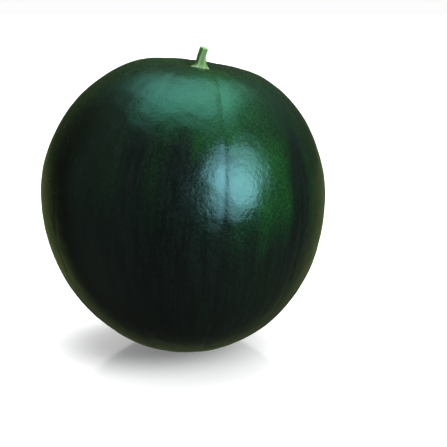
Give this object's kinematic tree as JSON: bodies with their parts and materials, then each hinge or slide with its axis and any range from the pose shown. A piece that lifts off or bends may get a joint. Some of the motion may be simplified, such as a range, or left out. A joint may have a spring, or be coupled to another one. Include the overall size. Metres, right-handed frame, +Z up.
{
  "type": "watermelon",
  "caption": "Round, smooth, black-green watermelon standing on its blossom end, with a short cut stem in the broad hollow of its leaning stem end.",
  "frame": {"origin": "on the ground, under the middle of the fruit: the centre of the underside of its bounding box", "axes": "+Z up from the flat spot through the fruit, +X to the side that the stem end leans to, -Y to the front"},
  "size_m": [0.2495, 0.2502, 0.2673],
  "materials": {
    "rind": "waxy black-green skin with darker furrows, fine mottling and a bluish bloom, satin",
    "stem": "fresh green ridged stalk, matt, with a pale collar and a pale cut end"
  },
  "bodies": {
    "root": {"fruit": "rind", "stem": "stem"}
  },
  "joints": []
}
